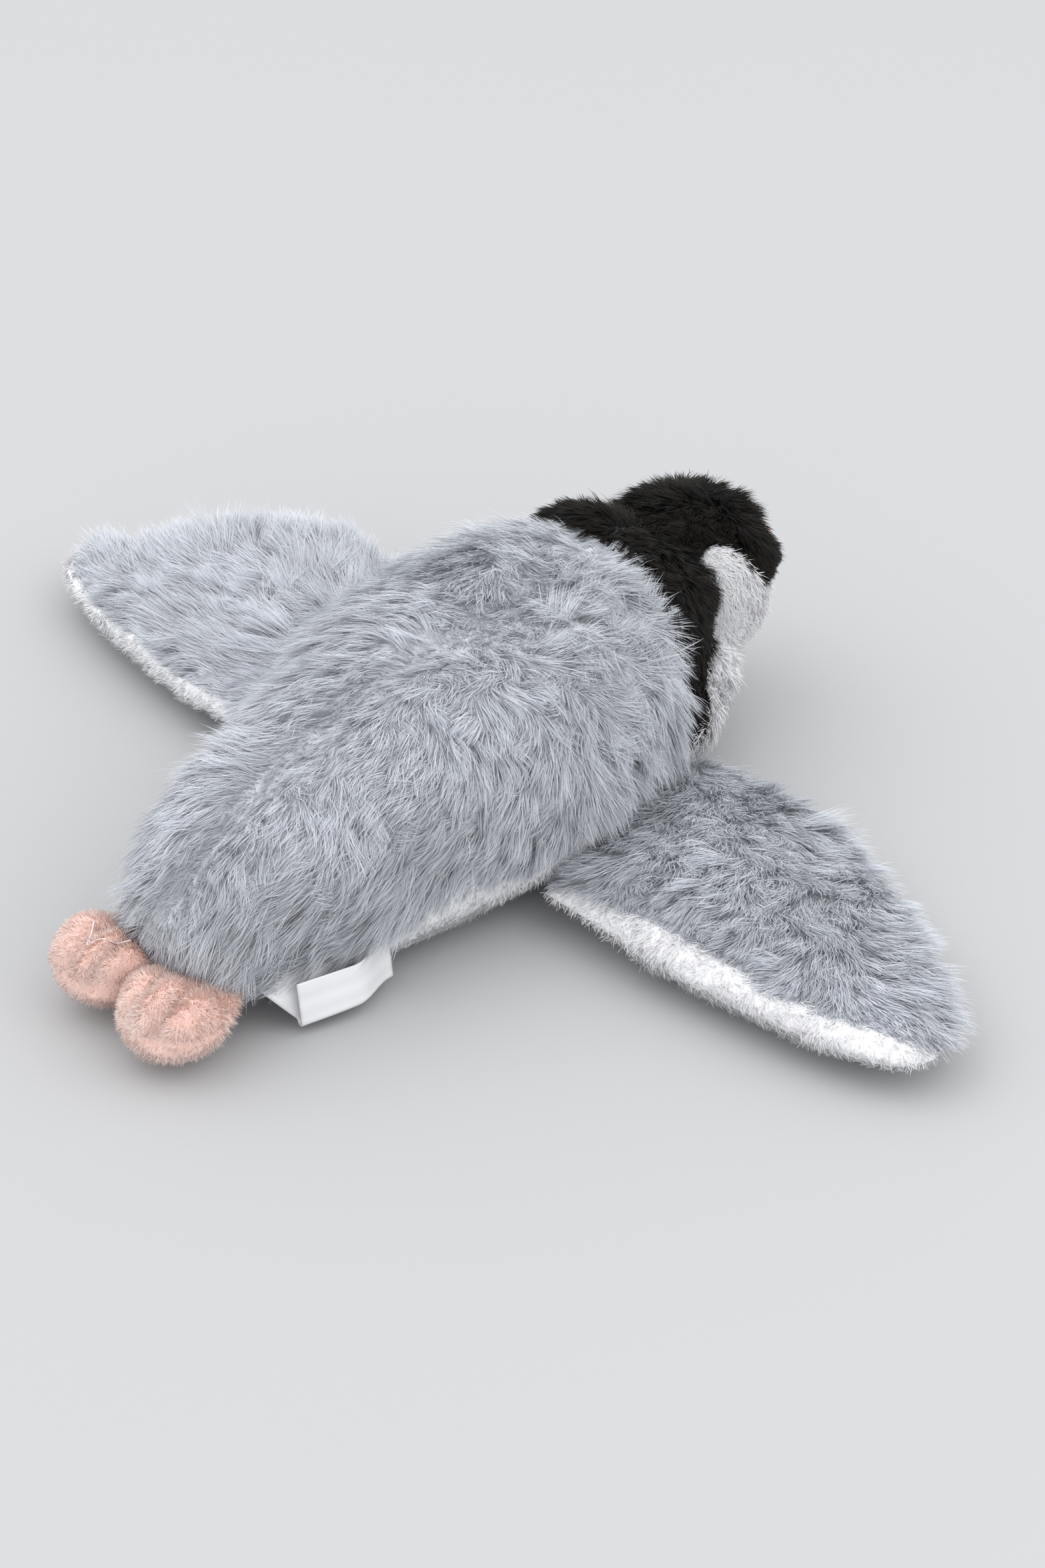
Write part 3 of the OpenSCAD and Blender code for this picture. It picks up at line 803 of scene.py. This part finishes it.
def brushCap(places, up):
    local = inHead(places)
    side = np.clip(local[:, 0] / 0.02, -1, 1)
    fore = -0.9 + 1.5 * smoothStep(local[:, 1], 0.004, 0.022)  # over the face in front, else back
    return np.outer(0.5 * side, headRight) + np.outer(fore, headForward) - np.array([0, 0, 0.8])


def trimCap(places, up, gap):
    nape = smoothStep(-inHead(places)[:, 1], 0.008, 0.022)
    edge = 0.6 + 0.4 * smoothStep(gap, 2 * mm, 10 * mm)
    return (0.6 + 0.4 * spareFace(places, up, gap)) * (edge + (1.35 - edge) * nape)


def brushCheek(places, up):
    return np.tile(0.2 * headForward - np.array([0, 0, 1.0]), (len(places), 1))


def spareFace(places, up, gap):
    gone = np.ones(len(places))
    for node in ("eye_left", "eye_right"):  # the pile is clipped short round the eyes
        low, high = (np.array(corner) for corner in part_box(node))
        away = np.linalg.norm(places - (low + high) / 2, axis=1)
        gone *= 0.4 + 0.6 * smoothStep(away, 5.0 * mm, 9 * mm)
    return gone


headSkin, headSplit = makeHeadSkin(headLook)
capPile = {**neckPile, "strands": 22000, "comb": brushCap, "length": 9 * mm, "uneven": 0.35,
           "width": 0.34 * mm, "lift": 0.42, "perLock": 34, "lockTurn": 0.35, "gather": 0.5,
           "swirl": 0.5, "patchy": 0.10, "trim": trimCap}
for side, seed in (("left", 71), ("right", 81)):
    growPile("cap_pile_" + side, "head", headSkin, headSplit, "head_cap_" + side,
             {**capPile, "seed": seed})
cheekPile = {**bellyPile, "strands": 14000, "comb": brushCheek, "length": 5 * mm,
             "swirl": 0.3, "trim": spareFace}
for side, seed in (("left", 91), ("right", 101)):
    growPile("cheek_pile_" + side, "head", headSkin, headSplit, "cheek_" + side,
             {**cheekPile, "seed": seed})
print("stage head")


# The beak and the eyes

def makeBeak():
    skin = castSkin("beak_skin", ["beak_upper", "beak_lower"], 0.8 * mm, 4)
    split = splitPanels(skin, ["beak_upper", "beak_lower"], [0, 0])
    places, normals = pointsOf(skin), normalsOf(skin)
    seam = np.exp(-((places[:, 2] - headCentre[2]) / (0.9 * mm)) ** 2)
    placePoints(skin, places - normals * (0.3 * mm + 0.7 * mm * seam)[:, None])
    dressSkin(skin, split, [pinkSkin])
    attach(skin, "head")
    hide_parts("beak_upper", "beak_lower")

    def brush(places, up):
        return np.tile(headForward, (len(places), 1))

    look = {**bellyPile, "material": pinkPile, "slot": "beak_plush", "strands": 1500, "comb": brush,
            "length": 1.6 * mm, "width": 0.25 * mm, "lift": 0.5, "swirl": 0.2}
    growPile("beak_pile_upper", "head", skin, split, "beak_upper", {**look, "seed": 111})
    growPile("beak_pile_lower", "head", skin, split, "beak_lower", {**look, "seed": 121})


makeBeak()
for side in ("left", "right"):
    dress("eye_" + side, eyeMaterial())
    dress("eye_washer_" + side, washerMaterial())
print("stage face")


# The flippers

flipperLook = {
    "voxel": 3.2 * mm, "rounds": 3, "topInset": 4.5 * mm, "underInset": 2.2 * mm,
    "wrap": {"left": 2.5 * mm, "right": 9 * mm}, "shorter": {"left": 0.03, "right": 0.0},
    "leadAt": (0, 0.03, 0.07, 0.11, 0.15), "rootIn": 12 * mm, "rootFull": 4 * mm,
    "lead": {"left": (-0.004, 0.010, 0.016, 0.008, -0.016),
             "right": (0.009, 0.007, 0.003, 0.0, -0.003)},
    "rise": {"left": (0, 0.006, 0.012, 0.009, -0.002), "right": (0.003, 0.002, 0.001, 0, 0)},
    "puff": {"pressure": 3.0, "stretch": 12, "bend": 2.0, "frames": 14, "most": 2 * mm,
             "floor": 1.5 * mm},
}


def makeFlipper(side, look):
    sign = 1.0 if side == "right" else -1.0
    hinge = np.array(joints["flipper_" + side + "_flap"]["pos_m"])
    panels = ["flipper_top_" + side, "flipper_under_" + side]
    stuffing = "flipper_stuffing_" + side
    skin = castSkin("flipper_skin_" + side, panels + [stuffing], look["voxel"], look["rounds"])

    def flankOf(spots):  # how far out from the hinge
        return sign * (spots[:, 0] - hinge[0])

    bow = np.polyfit(flankOf(pointsOf(skin)), pointsOf(skin)[:, 1], 2)

    def rearOf(spots):  # how far behind the flipper's middle line
        return np.polyval(bow, flankOf(spots)) - spots[:, 1]

    def recut(owner, spots, gap):  # the white rolls up over the trailing edge
        band = look["wrap"][side] * smoothStep(rearOf(spots), 0.0, 0.012)
        band *= smoothStep(flankOf(spots), -0.004, 0.014)
        return np.where(gap < band * (1 + 0.15 * ripple(spots, 0.05, 5)), 1, owner)

    split = splitPanels(skin, panels, [0, 1], recut)
    places, normals = pointsOf(skin), normalsOf(skin)
    under = split["shares"][:, 1]
    inset = look["topInset"] * (1 - under) + look["underInset"] * under
    places -= normals * inset[:, None]
    flank = flankOf(places)
    lead = smoothStep(-rearOf(places), 0.0, 0.035)
    places[:, 1] += lead * np.interp(flank, look["leadAt"], look["lead"][side])
    places[:, 2] += lead * np.interp(flank, look["leadAt"], look["rise"][side])
    places[:, 0] -= sign * look["shorter"][side] * np.maximum(flank, 0)
    root = 1 - smoothStep(flank, 0.0, 0.03)  # the root runs on into the body
    places[:, 0] -= sign * look["rootIn"] * root
    full = (1 - smoothStep(flank, 0.02, 0.07)) * (1 - under)
    places[:, 2] += look["rootFull"] * full
    places[:, 2] = np.maximum(places[:, 2], 1.5 * mm)
    placePoints(skin, places)
    puff(skin, sewnPoints(skin, split["owner"]), look["puff"])
    dressSkin(skin, split, [greySkin, whiteSkin])
    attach(skin, "flipper_" + side)
    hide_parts(stuffing, *panels)

    def brushTop(spots, up):
        out = np.clip(sign * (spots[:, 0] - hinge[0]) / 0.15, 0, 1)
        front = smoothStep(spots[:, 1] - hinge[1] + 0.25 * out * 0.15, -0.02, 0.05)
        if side == "right":
            outward, fore = 0.15 + 1.0 * out + 0.5 * front, -1.0 + 0.55 * front
        else:
            outward, fore = 0.55 + 0.7 * out + 0.5 * front, -0.9 + 1.5 * front
        return np.stack([sign * outward, fore, -0.2 + 0 * out], 1)

    def brushUnder(spots, up):
        return np.tile(np.array([sign * 0.7, -1.0, 0.0]), (len(spots), 1))

    def matted(spots):
        middle = hinge + np.array([sign * 0.055, 0.030, 0.01])
        return 0.4 * blob(spots, middle, (0.035, 0.022, 0.05))

    def shade(spots, up):
        # lighter on faces turned up: painted light; darker over the matted patch
        return 0.05 * up[:, 2] - 0.04 * matted(spots)

    def trim(spots, up, gap):
        rear = smoothStep(rearOf(spots), -0.004, 0.012)
        return 1 - (0.2 + 0.4 * rear) * (1 - smoothStep(gap, 0.0, 14 * mm))

    def trimUnder(spots, up, gap):
        lead = smoothStep(-rearOf(spots), -0.008, 0.004)
        return 1 - 0.75 * lead * (1 - smoothStep(gap, 0.0, 15 * mm))

    seed = 131 if side == "right" else 161
    top = {**backPile, "strands": 30000, "comb": brushTop, "wild": matted, "shade": shade,
           "trim": trim, "seed": seed}
    growPile("flipper_pile_top_" + side, "flipper_" + side, skin, split, panels[0], top)
    below = {**bellyPile, "strands": 22000, "comb": brushUnder, "trim": trimUnder,
             "length": 4 * mm, "seed": seed + 10}
    growPile("flipper_pile_under_" + side, "flipper_" + side, skin, split, panels[1], below)


makeFlipper("left", flipperLook)
makeFlipper("right", flipperLook)
print("stage flippers")


# The feet

footLook = {
    "voxel": 1.8 * mm, "rounds": 3, "inset": 1.4 * mm,
    "grooves": {"left": (0.0, 1 / 4), "right": (-1 / 6, 1 / 6)},  # shares of the foot's width
    "grooveDepth": 4.2 * mm, "grooveWidth": 3.0 * mm,
    "forward": {"left": 9 * mm, "right": 2.5 * mm}, "wider": {"left": 1.12, "right": 1.16},
    "higher": {"left": 1.24, "right": 1.2}, "rootIn": 7 * mm,
    "puff": {"pressure": 5.0, "stretch": 10, "bend": 0.8, "frames": 16, "most": 3 * mm,
             "floor": 1.2 * mm},
}
toeThread = threadMaterial("toeThread", (0.97, 0.70, 0.61), (0.93, 0.60, 0.51))
whiteThread = threadMaterial("whiteThread", (0.93, 0.93, 0.93), (0.80, 0.80, 0.80))


def makeThread(name, paths, radius, material):  # round thread along each path, with closed ends
    verts, faces = [], []
    for path in paths:
        path = np.array(path)
        ahead = unit(np.gradient(path, axis=0))
        across = unit(np.cross(ahead, np.array([0.0, 0.0, 1.0])))
        upward = np.cross(across, ahead)
        base, sides = len(verts), 8
        for centre, a, u in zip(path, across, upward):
            for turn in range(sides):
                angle = 2 * math.pi * turn / sides
                verts.append(tuple(centre + radius * (a * math.cos(angle) + u * math.sin(angle))))
        for ring in range(len(path) - 1):
            for turn in range(sides):
                first, second = base + ring * sides + turn, base + ring * sides + (turn + 1) % sides
                faces.append((first, first + sides, second + sides, second))
        faces.append(tuple(base + turn for turn in range(sides)))
        faces.append(tuple(base + (len(path) - 1) * sides + turn for turn in reversed(range(sides))))
    mesh = bpy.data.meshes.new(name)
    mesh.from_pydata(verts, [], faces)
    mesh.materials.append(material)
    piece = bpy.data.objects.new(name, mesh)
    bpy.context.collection.objects.link(piece)
    activate(piece)
    bpy.ops.object.mode_set(mode="EDIT")
    bpy.ops.mesh.select_all(action="SELECT")
    bpy.ops.mesh.normals_make_consistent(inside=False)
    bpy.ops.object.mode_set(mode="OBJECT")
    bpy.ops.object.shade_smooth()
    return piece


def makeFoot(side, look):
    panels = ["foot_top_" + side, "foot_sole_" + side]
    stuffing = "foot_stuffing_" + side
    hinge = np.array(joints["foot_" + side + "_flex"]["pos_m"])
    axis = -np.array(joints["foot_" + side + "_flex"]["axis"])  # points to the toy's right
    rearward = np.array([axis[1], -axis[0], 0.0])
    skin = castSkin("foot_skin_" + side, panels + [stuffing], look["voxel"], look["rounds"])
    split = splitPanels(skin, panels, [0, 0])
    places, normals = pointsOf(skin), normalsOf(skin)
    low, high = (np.array(corner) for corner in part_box("foot_top_" + side))
    width = (high[0] - low[0]) * 0.97
    places -= normals * look["inset"]
    local = np.stack([(places - hinge) @ axis, (places - hinge) @ rearward, places[:, 2] - hinge[2]], 1)
    reach = local[:, 1].max()
    # the stuffing spreads the foot, and its root runs on under the rump
    root = 1 - smoothStep(local[:, 1], -0.004, 0.010)
    places += np.outer(local[:, 0] * ((look["wider"][side] - 1) * (1 - root) - 0.2 * root), axis)
    places[:, 2] *= look["higher"][side]
    places -= np.outer(look["forward"][side] + look["rootIn"] * root, rearward)
    sewn = np.zeros(len(places), bool)
    lines = [share * width for share in look["grooves"][side]]
    for line in lines:
        aside = local[:, 0] - line * (0.75 + 0.35 * local[:, 1] / reach)
        groove = np.exp(-(aside / look["grooveWidth"]) ** 2)
        groove *= smoothStep(local[:, 1], 0.15 * reach, 0.5 * reach)
        groove *= smoothStep(local[:, 2], -0.006, 0.004)
        places -= normals * (look["grooveDepth"] * groove)[:, None]
        sewn |= groove > 0.75
    places[:, 2] = np.maximum(places[:, 2], 1.2 * mm)
    placePoints(skin, places)
    puff(skin, sewn | sewnPoints(skin, split["owner"]), look["puff"])
    dressSkin(skin, split, [pinkSkin])
    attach(skin, "foot_" + side)
    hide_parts(stuffing, *panels)

    def brush(spots, up):
        return np.tile(rearward + np.array([0, 0, -0.3]), (len(spots), 1))

    def shade(spots, up):
        # lighter on the undersides and towards the toe ends: painted light
        toes = smoothStep((spots - hinge) @ rearward, 0.6 * reach, reach)
        return 0.22 * (up[:, 2] < -0.1) + 0.18 * toes

    seed = 191 if side == "right" else 211
    pile = {"material": pinkPile, "slot": "pink_short_plush", "strands": 20000, "comb": brush,
            "length": 2.6 * mm, "uneven": 0.3, "width": 0.17 * mm, "lift": 0.8, "perLock": 6,
            "lockTurn": 0.3, "strandTurn": 0.7, "gather": 0.0, "stray": 0.1, "roll": 0.4,
            "swirl": 0.4, "swirlSize": 0.02, "softness": 0.95, "patchy": 0.08, "lockTone": 0.04,
            "hairTone": 0.10, "shade": shade}
    growPile("foot_pile_top_" + side, "foot_" + side, skin, split, panels[0],
             {**pile, "seed": seed})
    growPile("foot_pile_sole_" + side, "foot_" + side, skin, split, panels[1],
             {**pile, "strands": 7000, "seed": seed + 10})
    tree = surfaceOf(skin)

    def dropOn(x, y, lift):  # a spot on the foot's top
        above = Vector(hinge - rearward * look["forward"][side] + axis * x + rearward * y)
        spot = tree.ray_cast(above + Vector((0, 0, 0.06)), Vector((0, 0, -1)))[0]
        return np.array(spot if spot else above) + np.array([0, 0, lift])

    stitches = [[dropOn(line * (0.75 + 0.35 * t), t * reach, 0.25 * mm)
                 for t in np.linspace(0.45, 0.9, 12)] for line in lines]
    thread = makeThread("toe_thread_" + side, stitches, 0.35 * mm, toeThread)
    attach(thread, "foot_" + side)
    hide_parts("toe_stitches_" + side)
    if side == "left":  # one thread end was left long
        path = [dropOn(-4 * mm + 13 * mm * t + 1.0 * mm * math.sin(9 * t),
                       (0.50 + 0.22 * math.sin(4 * t)) * reach,
                       1.8 * mm + 0.6 * mm * math.sin(7 * t)) for t in np.linspace(0, 1, 24)]
        loose = makeThread("loose_thread", [path], 0.22 * mm, whiteThread)
        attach(loose, "foot_left")


makeFoot("left", footLook)
makeFoot("right", footLook)
print("stage feet")


# The label: a satin ribbon folded into a loop and sewn into the right side seam

labelLook = {
    "width": 40 * mm, "leaf": 15.5 * mm, "fold": 1.7 * mm, "skew": 14 * mm,
    "thick": 0.3 * mm, "rows": 44, "columns": 32, "lean": 0.20, "back": 3 * mm, "raise": 3.5 * mm,
    "setIn": 2.5 * mm, "wave": 0.8 * mm, "leafIn": 4.0 * mm, "frontIn": 7.0 * mm, "frontUp": 3.0 * mm,
}


def makeLabel(look):
    hinge = np.array(joints["label_flap"]["pos_m"])
    forward = -np.array(joints["label_flap"]["axis"])
    hinge = hinge - forward * look["back"] + np.array([0, 0, look["raise"]])
    outward = np.array([forward[1], -forward[0], 0.0])
    strip = 2 * look["leaf"] + math.pi * look["fold"]
    deselectAll()
    bpy.ops.mesh.primitive_grid_add(x_subdivisions=look["columns"], y_subdivisions=look["rows"], size=1)
    ribbon = bpy.context.object
    ribbon.name = "ribbon_label"
    flat = pointsOf(ribbon)
    across, run = flat[:, 0] + 0.5, (flat[:, 1] + 0.5) * strip
    down = np.clip(run / look["leaf"], 0, 1)
    back = np.clip((run - look["leaf"] - math.pi * look["fold"]) / look["leaf"], 0, 1)
    turn = np.clip((run - look["leaf"]) / look["fold"], 0, math.pi)
    depth = look["leaf"] * (down - back) + look["fold"] * np.sin(turn)
    side = look["fold"] * np.cos(turn)
    side += look["lean"] * depth - look["setIn"] + look["wave"] * np.sin(across * 4.0) * down * (1 - back)
    side -= look["leafIn"] * back * back  # the inner leaf goes back to the seam
    side -= look["frontIn"] * smoothStep(across, 0.55, 1.0)  # the front end turns in at the flank
    shift = -look["skew"] * back
    rise = 0.6 * mm * np.sin(across * 3 + 1) * down + look["frontUp"] * across * down
    places = (hinge + np.outer(across * look["width"] + shift, forward)
              + np.outer(side, outward) + np.outer(-depth + rise, np.array([0, 0, 1.0])))
    places[:, 2] = np.maximum(places[:, 2], 0.8 * mm)
    placePoints(ribbon, places)
    lines = ribbon.data.uv_layers.new(name="ribbon")
    corners = np.empty(len(ribbon.data.loops), np.int32)
    ribbon.data.loops.foreach_get("vertex_index", corners)
    lines.uv.foreach_set("vector", np.stack([run, across * look["width"]], 1)[corners].ravel())
    ribbon.data.materials.append(satinMaterial())
    activate(ribbon)
    bpy.ops.object.shade_smooth()
    solid = ribbon.modifiers.new("thick", "SOLIDIFY")
    solid.thickness = look["thick"]
    solid.offset = 0
    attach(ribbon, "label")
    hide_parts("side_label")


makeLabel(labelLook)
print("stage label")


# Floor, light and camera

stageLook = {
    "floorSize": 12, "floorDark": (0.397, 0.400, 0.407), "floorLight": (0.400, 0.403, 0.410),
    "sky": (0.985, 0.99, 1.0, 1), "skyStrength": 1.60, "lampAim": (0, 0, 0.04),
    "lamps": (("key", (-1.1, -0.7, 2.4), 2.4, 15.0), ("fill", (1.5, 0.5, 1.6), 2.0, 11.0)),
}
cameraLook = {"azimuth": 42.5, "elevation": 34.4, "distance": 1.7, "aim": (0.0372, -0.021, 0.045),
              "lens": 109.3}


def makeStage(look):
    deselectAll()
    bpy.ops.mesh.primitive_plane_add(size=look["floorSize"], location=(0, 0, 0))
    floor = bpy.context.object
    floor.name = "floor"
    graph = Graph("paleFloor")
    colour = graph.colours(graph.noise(3.0), look["floorDark"], look["floorLight"])
    floor.data.materials.append(graph.finish(colour, Roughness=1.0, Specular_IOR_Level=0.0))
    world = bpy.data.worlds.new("studio")
    world.use_nodes = True
    world.node_tree.nodes["Background"].inputs["Color"].default_value = look["sky"]
    world.node_tree.nodes["Background"].inputs["Strength"].default_value = look["skyStrength"]
    bpy.context.scene.world = world
    for name, place, size, power in look["lamps"]:
        lamp = bpy.data.lights.new(name, "AREA")
        lamp.size = size
        lamp.energy = power
        holder = bpy.data.objects.new(name, lamp)
        holder.location = place
        gaze = Vector(look["lampAim"]) - Vector(place)
        holder.rotation_euler = gaze.to_track_quat("-Z", "Y").to_euler()
        bpy.context.collection.objects.link(holder)


def makeCamera(look):
    azimuth, elevation = math.radians(look["azimuth"]), math.radians(look["elevation"])
    back = Vector((math.sin(azimuth) * math.cos(elevation), -math.cos(azimuth) * math.cos(elevation),
                   math.sin(elevation)))
    view = bpy.data.cameras.new("camera")
    view.lens = look["lens"]
    view.sensor_width = 36
    view.clip_end = 50
    holder = bpy.data.objects.new("camera", view)
    holder.location = Vector(look["aim"]) + back * look["distance"]
    holder.rotation_euler = (-back).to_track_quat("-Z", "Y").to_euler()
    bpy.context.collection.objects.link(holder)
    bpy.context.scene.camera = holder


makeStage(stageLook)
makeCamera(cameraLook)
bpy.context.scene.view_settings.view_transform = "Standard"
print("stage light and camera")
